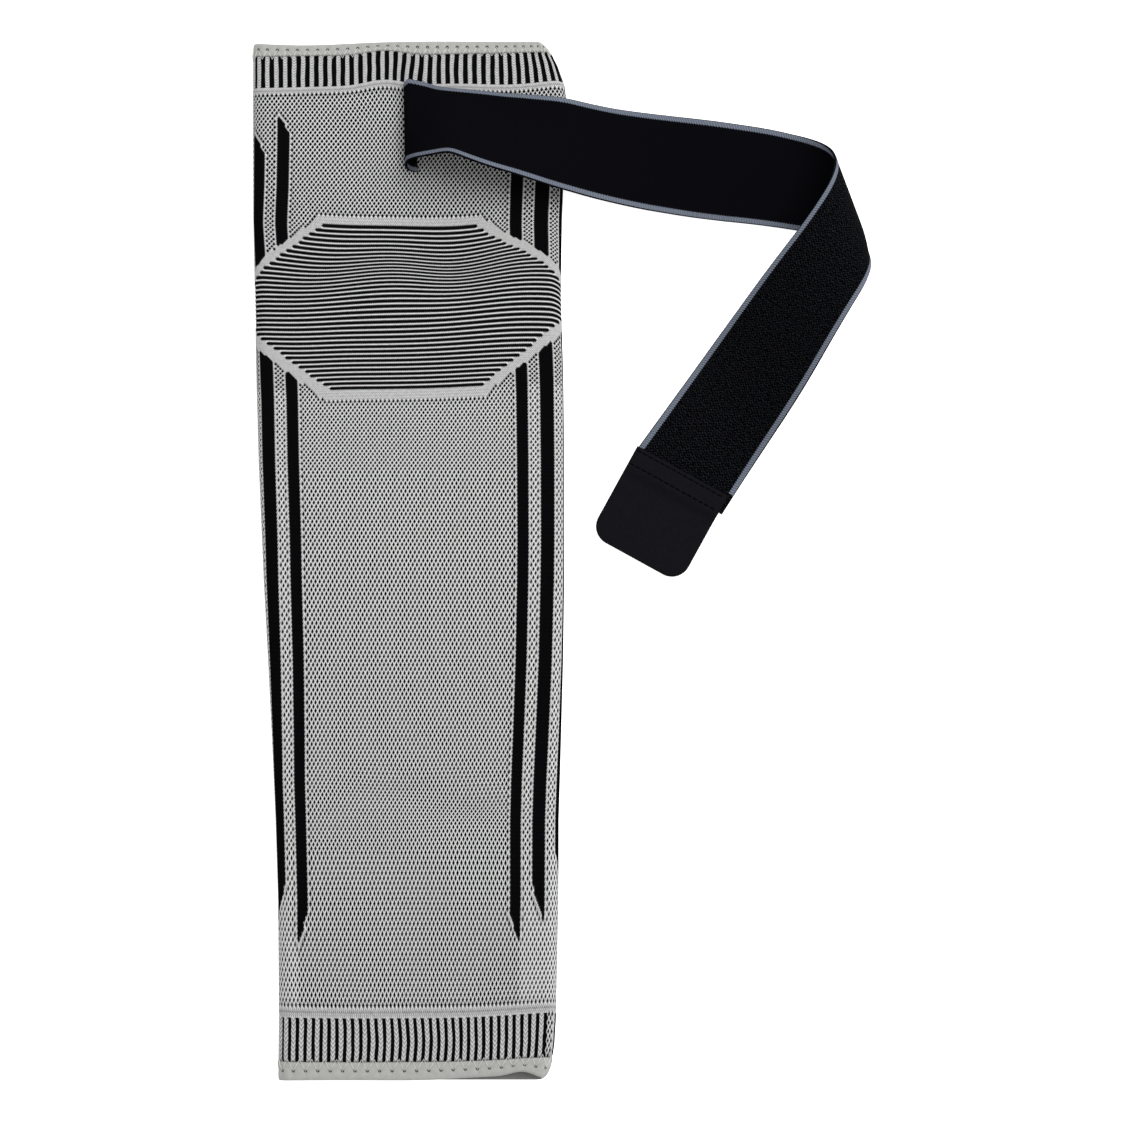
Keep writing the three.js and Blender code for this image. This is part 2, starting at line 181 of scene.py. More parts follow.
def hump(x, along, rows):
    """Sum of soft humps, each with its middle, reach both ways and height."""
    return sum(
        height * np.exp(-(((x - mx) / rx) ** 2) - ((along - my) / ry) ** 2)
        for mx, my, rx, ry, height in rows
    )


def girth(along):
    """Middle of the pressed tube, half its flat width between the side folds, and half its girth."""
    low, high = (np.interp(along, OUTLINE[:, 0], OUTLINE[:, side]) for side in (1, 2))
    flat = (high - low - HEIGHT) / 2
    return (low + high) / 2, flat, 2 * flat + np.pi * HEIGHT / 2


def knit_shift(x, along):
    """How far the stitches at a place are drawn along the sleeve."""
    return hump(x, along, DRAWN)


def tube(arc, along, inset, shift=knit_shift):
    """Points of the pressed tube in millimetres. arc runs round it from the middle of the upper wall
    to the right, and inset is the depth below the outer face."""
    middle, flat, half = girth(along)
    arc = (arc + half) % (2 * half) - half
    reach, radius = abs(arc), HEIGHT / 2
    turn = np.clip((reach - flat) / radius, 0, np.pi)
    under = np.maximum(reach - flat - np.pi * radius, 0)
    x = middle + np.sign(arc) * (np.minimum(reach, flat) + (radius - inset) * np.sin(turn) - under)
    corner = np.clip(x / CORNER_REACH, 0, CORNER_LIMIT) ** CORNER_POWER
    x = x - np.interp(along, CORNERS[:, 0], CORNERS[:, 1]) * corner
    fade = (1 - np.minimum(reach / flat, 1) ** 2) ** 2
    wave = RIPPLE * np.sin(x / LONG_SWING[0] + along / LONG_SWING[1])
    wave = wave * np.sin(x / CROSS_SWING[0] + along / CROSS_SWING[1])
    x = x + fade * (1 + np.cos(turn)) / 2 * hump(x, along, LEANING)
    z = radius + (radius - inset) * np.cos(turn) - fade * (SAG + wave + hump(x, along, DENTS))
    y = along + (1 + np.cos(turn)) / 2 * shift(x, along)
    return np.stack(np.broadcast_arrays(x, y, z), -1)


def net(name, points, chart, pits=None):
    """A mesh over a grid of points in millimetres. The chart has a row or a column more than the points
    where the grid is joined round. pits, a depth for each point, turns each square's cut across them."""
    rows, columns = points.shape[:2]
    r, c = np.indices((chart.shape[0] - 1, chart.shape[1] - 1))
    square = ((r, c), (r, c + 1), (r + 1, c + 1), (r + 1, c))
    ids = np.stack([(i % rows) * columns + j % columns for i, j in square], -1).reshape(-1, 4)
    places = np.stack([i * chart.shape[1] + j for i, j in square], -1).reshape(-1, 4)
    if pits is not None:
        deep = pits.reshape(-1)[ids]
        cross = (deep[:, 0] + deep[:, 2] > deep[:, 1] + deep[:, 3])[:, None]
        cuts = np.concatenate(
            [np.where(cross, (0, 1, 3), (0, 1, 2)), np.where(cross, (1, 2, 3), (0, 2, 3))], 1
        )
        ids = np.take_along_axis(ids, cuts, 1).reshape(-1, 3)
        places = np.take_along_axis(places, cuts, 1).reshape(-1, 3)
    mesh = bpy.data.meshes.new(name)
    mesh.from_pydata(points.reshape(-1, 3) * MM, [], ids)
    low, high = chart.reshape(-1, 2).min(0), chart.reshape(-1, 2).max(0)
    bake = BAKE_MARGIN + (1 - 2 * BAKE_MARGIN) * (chart - low) / (high - low)
    for layer, lay in (("chart", chart), ("OFBake", bake)):
        flat = lay.reshape(-1, 2)[places.reshape(-1)].astype(np.float32)
        mesh.uv_layers.new(name=layer).data.foreach_set("uv", flat.reshape(-1))
    mesh.polygons.foreach_set("use_smooth", np.ones(len(ids), bool))
    piece = bpy.data.objects.new(name, mesh)
    bpy.context.scene.collection.objects.link(piece)
    return piece


def keep(piece, name, values):
    """Keeps a number for each point of a mesh under a name that its material reads."""
    layer = piece.data.attributes.new(name, "FLOAT", "POINT")
    layer.data.foreach_set("value", np.asarray(values, np.float32).reshape(-1))


def round_arc(share, along):
    """Arc of a share of the way round the tube, with the drift of the stitches there."""
    left, right = (np.interp(along, DRIFT[:, 0], DRIFT[:, side]) for side in (1, 2))
    swing = 0.5 + 0.5 * np.sin(2 * np.pi * share)
    return 2 * share * girth(along)[2] + TWIST + left + (right - left) * swing


def black_beside(black):
    """How many of the four stitches next to each one are black."""
    return sum(np.roll(black, step, axis).astype(int) for step in (1, -1) for axis in (0, 1))


marks = np.cumsum([0] + [count for _, _, count in STRETCHES])
ends = [KNIT_TOP] + [end for _, end, _ in STRETCHES]
COURSES = marks[-1]
starts = {name: mark for (name, _, _), mark in zip(STRETCHES, marks)}
stretch = {name: slice(mark, mark + count) for (name, _, count), mark in zip(STRETCHES, marks)}
course_no, wale_no = np.indices((COURSES, WALES))
across = wale_no + 0.5 - WALES / 2
down = course_no + 0.5
first, last = starts["knee panel"], starts["under the knee"]
at_sides = (abs(across) > SIDE_WALES) & (down > last - 1)
black = (course_no + wale_no) % 2 * np.where(at_sides, SIDE_DOTS, 1.0)
depth = black * DOT_DEPTH
for inner, upper_tip, lower_tip in STRIPES:
    share = (abs(across) - inner) / STRIPE_WIDTH
    slant = (1 - share) * TIP_SLANT
    stripe = (share > 0) & (share < 1) & (down > upper_tip + slant) & (down < lower_tip - slant)
    rim = (black_beside(stripe) > 0) & ~stripe
    black[rim], depth[rim] = 0, 0
    black[stripe], depth[stripe] = 1, STRIPE_DEPTH
below, above = down - first, last - down
left_half, right_half = (
    np.minimum(wide + grow * below, low_wide + low_grow * above)
    for (wide, grow), (low_wide, low_grow) in (PANEL_LEFT, PANEL_RIGHT)
)
beyond = np.maximum(across - right_half, -across - left_half)
left_wales = np.where(below < above, BORDER_WALES[1], BORDER_WALES[2])
border = beyond < np.where(across > 0, BORDER_WALES[0], left_wales)
border &= (below > -BORDER_COURSES) & (above > -BORDER_COURSES)
black[border], depth[border] = 0, 0
panel = (beyond < 0) & (below > 0) & (above > 0)
black[panel] = 0
lines = panel & ((course_no - first) % 2 == 0)
black[lines], depth[lines] = 1, LINE_DEPTH
for edge in ("upper", "lower"):
    plain, ribs = stretch[edge + " border"], stretch[edge + " ribs"]
    black[plain], depth[plain] = 0, 0
    black[ribs] = 0
    depth[ribs] = (np.arange(WALES) % RIB_WALES < RIB_WALES / 2) * RIB_DEPTH
side = (across > SIDE_STRIP[0]) & (across < SIDE_STRIP[1]) & (course_no >= starts["lower ribs"])
black[side], depth[side] = (course_no + wale_no)[side] % 2, DOT_DEPTH
# A grey stitch stands out most among four black ones, and between two knee lines: there it keeps no
# painted shade and takes the lighter painted highlight.
near = black_beside(black > 0.5)
near[panel & (near == 2)] = 4
black[black == 0] = np.interp(near[black == 0], (2, 3, 4), (PLAIN, PLAIN / 2, 0))

courses = np.concatenate([[0], np.arange(COURSES) + 0.5, [COURSES]])
spots = np.pad(black, ((1, 1), (0, 0)), "edge")
depths = np.pad(depth, ((1, 1), (0, 0)), "edge") + YARN_GAP
depths[[0, -1]] += EDGE_ROUND
along = np.interp(courses, marks, ends)[:, None]
share_round = (np.arange(WALES) + 0.5)[None] / WALES - 0.5
outer = tube(round_arc(share_round, along), along, depths)
inside = np.interp(np.linspace(COURSES, 0, INSIDE_ROWS), marks, ends)[:, None]
inset = np.full((INSIDE_ROWS, 1), WALL)
inset[[0, -1]] -= EDGE_ROUND
inner = tube(round_arc(share_round, inside), inside, inset)
rows = np.concatenate([courses, COURSES + INSIDE_FROM + np.arange(INSIDE_ROWS + 1) * INSIDE_STEP])
chart = np.stack(np.meshgrid(np.arange(WALES + 1.0), rows), -1)
spots = np.concatenate([spots, np.full((INSIDE_ROWS, WALES), PLAIN)])
sleeve = net("knit_sleeve", np.concatenate([outer, inner]), chart, spots)
keep(sleeve, "black", spots)


class Shade:
    """A value or colour that changes over a surface, so that a finish reads as plain sums."""

    def __init__(self, socket):
        self.socket = socket

    def node(self, kind, settings, sockets, output=0):
        """A node of that kind: its settings come first, then the values or links of its sockets."""
        tree = self.socket.id_data
        made = tree.nodes.new(kind)
        for name, value in settings.items():
            setattr(made, name, value)
        for name, value in sockets.items():
            if isinstance(value, Shade):
                tree.links.new(value.socket, made.inputs[name])
            else:
                made.inputs[name].default_value = value
        return Shade(made.outputs[output])

    def math(self, operation, *terms):
        return self.node("ShaderNodeMath", {"operation": operation}, dict(enumerate(terms)))

    def __add__(self, other):
        return self.math("ADD", self, other)

    def __sub__(self, other):
        return self.math("SUBTRACT", self, other)

    def __rsub__(self, other):
        return self.math("SUBTRACT", other, self)

    def __mul__(self, other):
        return self.math("MULTIPLY", self, other)

    __radd__ = __add__
    __rmul__ = __mul__

    def part(self, axis):
        """One number of a place on the chart."""
        return self.node("ShaderNodeSeparateXYZ", {}, {0: self}, axis)

    def fract(self):
        """What a number has past its whole part."""
        return self.math("FRACT", self)

    def peak(self):
        """A wave from 0 at whole numbers to 1 halfway between them."""
        return 1 - abs(2 * self.fract() - 1)

    def __abs__(self):
        return self.math("ABSOLUTE", self)

    def step(self, low, high):
        """Rises softly from 0 at low to 1 at high."""
        return self.node(
            "ShaderNodeMapRange",
            {"interpolation_type": "SMOOTHSTEP"},
            {"Value": self, "From Min": low, "From Max": high},
        )

    def mix(self, none, full):
        """The colour none where this is 0, and full where it is 1."""
        return self.node("ShaderNodeMix", {"data_type": "RGBA"}, {0: self, 6: none, 7: full}, 2)

    def noise(self, scale, detail=2.0):
        """Cloudy change over the chart, about 0.5."""
        return self.node(
            "ShaderNodeTexNoise",
            {"noise_dimensions": "2D"},
            {"Vector": self, "Scale": scale, "Detail": detail},
        )

    def bump(self, height_mm):
        """The shading of a relief of that height."""
        return self.node("ShaderNodeBump", {}, {"Height": self, "Distance": height_mm * MM})


def bare(name):
    """A new material, and its chart as the socket that its sums start from."""
    material = bpy.data.materials.new(name)
    material.use_nodes = True
    material.node_tree.nodes.remove(material.node_tree.nodes["Principled BSDF"])
    chart = material.node_tree.nodes.new("ShaderNodeUVMap")
    chart.uv_map = "chart"
    return material, Shade(chart.outputs["UV"])


def dress(piece, material, start, sockets):
    """Closes a material with its cloth surface and lays it on a piece."""
    tree = material.node_tree
    surface = start.node("ShaderNodeBsdfPrincipled", {}, sockets)
    tree.links.new(surface.socket, tree.nodes["Material Output"].inputs["Surface"])
    piece.data.materials.append(material)


def grey(level, tint=(1.0, 1.0, 1.0)):
    """A linear colour of that lightness."""
    return (level * tint[0], level * tint[1], level * tint[2], 1.0)


# Linear greys of the yarn in the hollows and on the crowns of its strands: painted shade in the hollows,
# painted highlight on the crowns, and grey stitches among black ones painted lighter as lit.
LIT_RAISED_YARN, PLAIN_YARN, BLACK_YARN = (0.56, 1.0), (0.06, 0.7), (0.0006, 0.0045)
RIB_CROWN, INSIDE_GREY = 0.64, 0.2
BLACK_TINT = (0.95, 0.97, 1.12)
# Black grooves: sway of their sides, and how high on a rib's wave black sets in at each of the cuffs.
RIB_SWAY, UPPER_GROOVE, LOWER_GROOVE = 0.14, (0.4, 0.5), (0.48, 0.58)
# On this chart u counts wales and v counts courses. The cuffs and their grooves are found first.
material, chart = bare("knitted_yarn")
u, v = chart.part(0), chart.part(1)
strip_from, strip_to = (WALES / 2 + wale for wale in SIDE_STRIP)
strip = u.step(strip_from - 0.1, strip_from) * (1 - u.step(strip_to, strip_to + 0.1))
lower = v.step(starts["lower ribs"] + 0.1, starts["lower ribs"] + 0.3) * (1 - strip)
upper = 1 - v.step(starts["upper border"] - 0.3, starts["upper border"] - 0.1)
rib = (u * (1 / RIB_WALES) + 1 / RIB_WALES + RIB_SWAY * (chart.noise(0.2) - 0.5)).peak()
groove = upper * rib.step(*UPPER_GROOVE) + lower * rib.step(*LOWER_GROOVE)
# Each stitch is two slanting strands, twice as wide in the ribs. A plain border is darker in its middle.
narrow, wide = u.fract(), (u * 0.5).fract()
leg = abs(2 * (narrow + (upper + lower) * (wide - narrow)) - 1)
strand = (v * (1 + 0.2 * upper) + 0.8 * leg).peak()
middles = [abs(v - starts[edge + " border"] - 1).step(0.1, 0.35) for edge in ("upper", "lower")]
# The strands carry painted shade in their hollows and painted highlight on their crowns.
painted_shading_and_tone = strand * 0.7 + chart.noise(0.9) * 0.3 - 0.25 * (2 - middles[0] - middles[1])
lit_raised = painted_shading_and_tone.mix(grey(LIT_RAISED_YARN[0]), grey(LIT_RAISED_YARN[1]))
plain = painted_shading_and_tone.mix(grey(PLAIN_YARN[0]), (upper + lower).mix(grey(PLAIN_YARN[1]), grey(RIB_CROWN)))
dark = painted_shading_and_tone.mix(grey(BLACK_YARN[0]), grey(BLACK_YARN[1], BLACK_TINT))
# A black stitch leans with its strands, and shows a little less from the knee panel down.
spot = chart.node("ShaderNodeAttribute", {"attribute_name": "black"}, {}, 2)
slant = ((u + 0.5).fract() - 0.5) * (v.fract() - 0.5)
less = 0.02 * v.step(first - 7, first + 5) + 0.04 * v.step(last - 3, last + 3)
looped = (spot - 0.1 * u.peak() - 0.8 * slant - less).step(0.15, 0.35)
inked = looped.math("MAXIMUM", looped, groove)
# Grey stitches among black ones take the lighter painted highlight, and those among grey ones the plain
# yarn's painted shade.
face = inked.mix(spot.step(0.03, PLAIN).mix(lit_raised, plain), dark)
lining = v.step(COURSES + 1, COURSES + 3)
dress(
    sleeve,
    material,
    chart,
    {
        "Base Color": lining.mix(face, grey(INSIDE_GREY)),
        "Roughness": 0.95,
        "Specular IOR Level": 0.0,
        "Normal": (strand * (1 - 0.5 * leg)).bump(0.25),
    },
)
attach(sleeve, "root")
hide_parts("sleeve", "top_cuff", "bottom_cuff")

# The two edge bands are soft grey edging, folded over the cut ends of the knit and sewn on in zigzag.
# Each needle hole is drawn in a little and painted dark as shade, and at the lower right the upper wall's
# edge is pulled up.
BAND_TOP_END, BAND_BOTTOM_END = 269.7, -269.3
COLUMNS_TO_A_HOLE = 8
SEAM_GAP = 0.3
# Section of a band: share of the way from the seam to the edge, depth below the outer face.
BAND_SECTION = np.array((
    (0.0, 0.3), (0.1, 0.05), (0.22, 0.0), (0.34, 0.0), (0.46, 0.0), (0.58, 0.0), (0.7, 0.0), (0.82, 0.05),
    (0.92, 0.2), (0.98, 0.55), (1.0, 1.0), (0.98, 1.45), (0.92, 1.8), (0.7, 2.0), (0.4, 2.0), (0.0, 2.0),
))
OUTER_ROWS = 10
# Waves of the two mouths, in the columns of the dents: only the places across count here.
TOP_WAVE = ((-58, 0, 30, 1, -1.8), (10, 0, 30, 1, 0.4), (77, 0, 7, 1, -2.2))
BOTTOM_WAVE = ((-40, 0, 40, 1, 0.4), (45, 0, 28, 1, 2.2))
ARCH_X, ARCH_LEFT, ARCH_RIGHT, ARCH_DEPTH = 57.5, 9.0, 8.0, 3.0
UNDER_HANG = 1.8
# Needle holes and the pull of the thread beside them: reach, depth, and where the pull ends.
HOLE_REACH, HOLE_DEPTH, PULL_REACH, PULL_DEPTH, PULL_TO = 0.9, 0.55, 1.6, 0.22, 0.95
# Zigzag: width of one zigzag and its place across the band, at the top and at the bottom.
TOP_ZIGZAG, BOTTOM_ZIGZAG = (5.2, 0.52), (6.4, 0.5)
THREAD_RADIUS, THREAD_LAP, THREAD_RISE, THREAD_SINK = 0.24, 1.3, 0.16, 0.3
# Steps of the band's chart round and across it, painted shade kept for its inner side, tints of edging and
# thread.
EDGING_STEPS, INNER_SHADE = (0.8, 1.4), 0.4
EDGING_TINT, THREAD_TINT = (1.0, 1.0, 0.95), (1.0, 0.99, 0.95)


def band_shift(seam, end, wave, arch):
    """The drawing of a band: it follows the knit at its seam, and its own wave at its edge."""
    def shift(x, along):
        share = np.clip((along - seam) / (end - seam), 0, 1)
        reach = (x - ARCH_X) / np.where(x < ARCH_X, ARCH_LEFT, ARCH_RIGHT)
        edge = hump(x, 0, wave) + arch * np.exp(-(reach**2))
        return (1 - share) * knit_shift(x, np.clip(along, KNIT_BOTTOM, KNIT_TOP)) + share * edge
    return shift


def cord(name, way, outward, radius, closed=True, sides=6):
    """A round thread along a row of points, with the direction away from the cloth at each."""
    ahead = np.roll(way, -1, 0) - np.roll(way, 1, 0)
    if not closed:
        ahead[0], ahead[-1] = way[1] - way[0], way[-1] - way[-2]
    beside = np.cross(ahead, outward)
    beside /= np.linalg.norm(beside, axis=1)[:, None]
    over = np.cross(beside, ahead)
    over /= np.linalg.norm(over, axis=1)[:, None]
    turn = np.arange(sides)[:, None] * 2 * np.pi / sides
    ring = beside[:, None] * np.cos(turn) + over[:, None] * np.sin(turn)
    rows = len(way) + (1 if closed else 0)
    chart = np.stack(np.meshgrid(np.arange(sides + 1.0), np.arange(rows) * 0.5), -1)
    return net(name, way[:, None] + radius * ring, chart)


def band(name, seam, end, zigzag, wave, arch, hang):
    """An edge band with its needle holes, and its zigzag thread."""
    pitch, dot_share = zigzag
    out = np.sign(end)
    shift = band_shift(seam, end, wave, arch)
    share, inset = BAND_SECTION[:, :1], BAND_SECTION[:, 1:]
    along = seam + out * SEAM_GAP + share * (end - seam - out * SEAM_GAP)
    count = round(2 * girth(seam)[2] / pitch)
    columns = count * COLUMNS_TO_A_HOLE
    turn = (np.arange(columns) + 0.5)[None] / columns - 0.5
    off = abs((turn * count) % 1 - 0.5) * pitch
    outside = np.arange(len(BAND_SECTION))[:, None] < OUTER_ROWS
    dots = seam + dot_share * (end - seam)
    hole = np.exp(-((off / HOLE_REACH) ** 2) - ((along - dots) / HOLE_REACH) ** 2) * outside
    pull = PULL_DEPTH * np.exp(-((off / PULL_REACH) ** 2)) * outside * (share < PULL_TO)
    points = tube(2 * turn * girth(along)[2] + TWIST, along, inset + HOLE_DEPTH * hole + pull, shift)
    points[..., 1] += out * hang * share * (1 - points[..., 2] / HEIGHT)
    # Painted shade: dark in the needle holes, and darker over the band's inner side.
    shade = hole + INNER_SHADE * ~outside
    if out > 0:
        points, shade = points[::-1], shade[::-1]
    steps = [np.arange(size + 1.0) * step for size, step in zip((columns, len(share)), EDGING_STEPS)]
    piece = net(name, points, np.stack(np.meshgrid(*steps), -1))
    keep(piece, "shade", shade)
    spots = (np.arange(count * 4) / 4 + 0.5) / count - 0.5
    phase = np.arange(count * 4) % 4
    lap = seam - out * THREAD_LAP
    row = np.choose(phase, (dots, (dots + lap) / 2, lap, (dots + lap) / 2))
    sink = np.choose(phase, (THREAD_SINK, -THREAD_RISE, 0.0, -THREAD_RISE))
    way = tube(2 * spots * girth(row)[2] + TWIST, row, sink, shift)
    outward = way - tube(2 * spots * girth(row)[2] + TWIST, row, sink + 1.0, shift)
    return piece, cord(name + "_zigzag_thread", way, outward, THREAD_RADIUS)


KNIT_BOTTOM = ends[-1]
top = band("top_edge_band", KNIT_TOP, BAND_TOP_END, TOP_ZIGZAG, TOP_WAVE, 0.0, 0.0)
bottom_edge = KNIT_BOTTOM, BAND_BOTTOM_END
bottom = band("bottom_edge_band", *bottom_edge, BOTTOM_ZIGZAG, BOTTOM_WAVE, ARCH_DEPTH, UNDER_HANG)
material, chart = bare("soft_edging")
nap = chart.noise(2.2, 4.0)
shade = chart.node("ShaderNodeAttribute", {"attribute_name": "shade"}, {}, 2)
felt = (nap * 0.6 + chart.noise(0.35) * 0.4).mix(grey(0.24, EDGING_TINT), grey(0.44, EDGING_TINT))
edging = {
    # The needle holes and the inner side are painted dark as shade.
    "Base Color": shade.step(0.22, 0.62).mix(felt, grey(0.015)),
    "Roughness": 0.95,
    "Specular IOR Level": 0.12,
    "Normal": nap.bump(0.3),
}
dress(top[0], material, chart, edging)
bottom[0].data.materials.append(material)
material, chart = bare("sewing_thread")
ply = (chart.part(0) * 0.5 + chart.part(1)).peak()
spun = {
    "Base Color": ply.mix(grey(0.34), grey(0.66, THREAD_TINT)),
    "Roughness": 0.8,
    "Specular IOR Level": 0.2,
}
dress(top[1], material, chart, spun)
bottom[1].data.materials.append(material)
for (piece, thread), node in ((top, "top_band"), (bottom, "bottom_band")):
    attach(piece, "root")
    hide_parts(node)
    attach(thread, "root")

# The strap is one length of black elastic webbing with grey-blue woven edges, sewn on at its root.
# It rolls over the root to the right, stands tilted on its upper edge and comes down past the sleeve.
# There it rolls over a slanting fold and lies back down to the tab, with its rougher face up.
STRAP_WIDTH, STRAP_THICK, SELVEDGE = 50.0, 1.6, 2.8
# Half thickness of the selvedge and of the webbing, and the rounding of the rim: how far, how much.
SELVEDGE_HALF, WEB_HALF, RIM_ROUND, RIM_THIN = 0.8, 0.66, 0.5, 0.75
STRAP_GAP = 0.3
ROOT_WIDTH, ROOT_ALONG, ROOT_LAP = 44.5, 224.1, 0.6
# Roll at the root, at its lower and its upper side: fold, radius, turn in degrees, rise along the sleeve.
ROOT_ROLL = np.array(((2.6, 5.5, 125.0, 4.6), (-1.8, 2.0, 180.0, 3.4)))
# Way of the first run: middle seen from above, width, height its upper edge rests at, tilt in degrees.
RUN = np.array((
    (5.0, 227.1, 44.0, 15.2, 20.0),
    (9.3, 226.5, 45.0, 15.0, 28.0),
    (14.1, 226.3, 46.2, 14.8, 34.0),
    (22.5, 226.2, 47.9, 14.8, 40.0),
    (31.2, 224.3, 49.2, 14.8, 37.0),
    (45.5, 221.3, 50.2, 14.8, 32.0),
    (59.8, 218.9, 51.0, 14.7, 27.0),
    (74.1, 216.4, 51.2, 14.4, 20.5),
    (88.5, 213.3, 51.4, 11.3, 18.0),
    (102.0, 210.8, 51.5, 7.9, 15.0),
    (119.7, 208.4, 51.7, 4.4, 10.0),
    (140.7, 206.1, 51.9, 1.4, 4.0),
))
# Spread of the strap from its fold to its end: distance past the fold line, reach over and under the way.
SPREAD = np.array((
    (-50, 22.0, 30.2),
    (-20, 25.0, 25.8),
    (20, 23.1, 22.6),
    (60, 19.3, 23.4),
    (95, 20.8, 25.5),
    (140, 21.2, 30.6),
    (230, 22.0, 35.2),
))
# The spread is averaged over these distances before and after a place.
SPREAD_EASE = np.linspace(-15, 15, 9)
# Slanting fold: a place on the way to it, the way ahead there, and the way out over the fold line.
FOLD_FROM, FOLD_AHEAD, FOLD_OUT = np.array((150.0, 209.7)), (0.9736, -0.2284), (0.9358, 0.3526)
# Radius of the fold, distance of its line out from the origin, and length of the strap that leads to it.
FOLD_RADIUS, FOLD_OFFSET, FOLD_LEAD = 18.0, 260.0, 50.0
# Its outer corner is drawn in: reach, how far.
FOLD_CORNER, CORNER_PULL = 8.0, 1.8
# Past the fold the strap sinks to the floor: how far that takes, and how long the strap is there.
REST_FALL, REST_LENGTH = 90.0, 144.0
# Rows of points over the roll, along the first run and from the fold to the end.
ROLL_ROWS, RUN_ROWS, FOLD_ROWS = 21, 157, 230
# Rows eased after the roll, before the fold and after it, and how often; length hidden under the tab.
EASE_ROLL, EASE_BEFORE, EASE_AFTER, EASE_TIMES = 60, 20, 14, 60
TAB_COVER = 11.6
# Columns of points across the strap: from each edge over the selvedge, and evenly over the webbing.
EDGE_COLUMNS = np.array((0.0, 0.2, 0.8, 1.5, 2.2, 2.6, 3.1))
WEB_COLUMNS = np.linspace(4.6, STRAP_WIDTH - 4.6, 27)
# Gap on the chart between the face and the back of a strap or tab.
FACE_GAP = 1.0
span = np.concatenate([EDGE_COLUMNS, WEB_COLUMNS, STRAP_WIDTH - EDGE_COLUMNS[::-1]])
lay = span / STRAP_WIDTH


def unit(way):
    """A direction seen from above, made one long."""
    return np.array(way) / np.hypot(*way)


def smooth_way(knots, count):
    """Rows of a table, read smoothly between its knots."""
    ends = np.concatenate([2 * knots[:1] - knots[1:2], knots, 2 * knots[-1:] - knots[-2:-1]])
    at = np.linspace(0, len(knots) - 1, count)
    k = np.minimum(at.astype(int), len(knots) - 2)
    f = (at - k)[:, None]
    a, b, c, d = (ends[k + i] for i in range(4))
    return b + 0.5 * f * (c - a + f * (2 * a - 5 * b + 4 * c - d + f * (3 * (b - c) + d - a)))


def seat(x, y):
    """Height of the strap's middle where it lies on the sleeve."""
    return tube(x - girth(y)[0], y, 0)[..., 2] + STRAP_GAP + STRAP_THICK / 2


def strap_root():
    """Rows of the end sewn down and of the roll back over it, wider and shorter at its lower side."""
    fold, radius, turn, rise = (np.interp(lay, (0, 1), column) for column in ROOT_ROLL.T)
    y = ROOT_ALONG + (lay - 0.5) * ROOT_WIDTH
    sewn = np.stack([fold + ROOT_LAP, y, seat(fold + ROOT_LAP, y)], -1)
    place = np.linspace(0, 1, ROLL_ROWS)[:, None]
    angle = np.radians(turn) * place
    high = seat(fold, y) + radius * (1 - np.cos(angle))
    roll = np.stack([fold - radius * np.sin(angle), y + rise * place**2, high], -1)
    return np.concatenate([sewn[None], roll])


def strap_fold():
    """Rows that roll over the slanting fold line and lie down to the tab."""
    ahead, out = unit(FOLD_AHEAD), unit(FOLD_OUT)
    side = np.array((-ahead[1], ahead[0]))
    arc = np.pi * FOLD_RADIUS
    to_fold = (FOLD_OFFSET - out @ FOLD_FROM) / (out @ ahead)
    gone = np.linspace(-FOLD_LEAD, arc / (out @ ahead) + REST_LENGTH, FOLD_ROWS)
    near = gone[:, None] + SPREAD_EASE
    over, under = (np.interp(near, SPREAD[:, 0], SPREAD[:, k]).mean(1)[:, None] for k in (1, 2))
    reach = lay * over - (1 - lay) * under
    flat = FOLD_FROM + (to_fold + gone)[:, None, None] * ahead + reach[..., None] * side
    past = flat @ out - FOLD_OFFSET
    turn = np.clip(past / FOLD_RADIUS, 0, np.pi)
    back = np.maximum(past - arc, 0)
    place = np.minimum(past, 0) + FOLD_RADIUS * np.sin(turn) - back
    place = place - CORNER_PULL * np.exp(-((span / FOLD_CORNER) ** 2)) * np.sin(turn) ** 2
    fall = np.clip(back / REST_FALL, 0, 1)
    high = FOLD_RADIUS * (1 - np.cos(turn)) * (1 - fall * fall * (3 - 2 * fall))
    flat = flat + (place - past)[..., None] * out
    return np.concatenate([flat, STRAP_THICK / 2 + high[..., None]], -1)


def strap_run(first, last):
    """Rows of the first run, between the last row of the roll and the first one of the fold."""
    def knot(row):
        width = np.linalg.norm(row[-1] - row[0])
        return (*((row[0] + row[-1]) / 2), width, np.arcsin((row[0, 2] - row[-1, 2]) / width))

    tilt = np.radians(RUN[:, 4])
    lift = RUN[:, 3] + STRAP_THICK / 2 + np.sin(tilt) * RUN[:, 2] / 2
    table = np.column_stack([RUN[:, :2], lift, RUN[:, 2], tilt])
    way = smooth_way(np.vstack([knot(first), table, knot(last)]), RUN_ROWS)
    ahead = np.gradient(way[:, :2], axis=0)
    ahead /= np.linalg.norm(ahead, axis=1)[:, None]
    c, s = np.cos(way[:, 4]), np.sin(way[:, 4])
    side = np.column_stack([-ahead[:, 1] * c, ahead[:, 0] * c, -s]) * way[:, 3:4]
    return (way[:, None, :3] + (lay - 0.5)[None, :, None] * side[:, None])[1:-1]


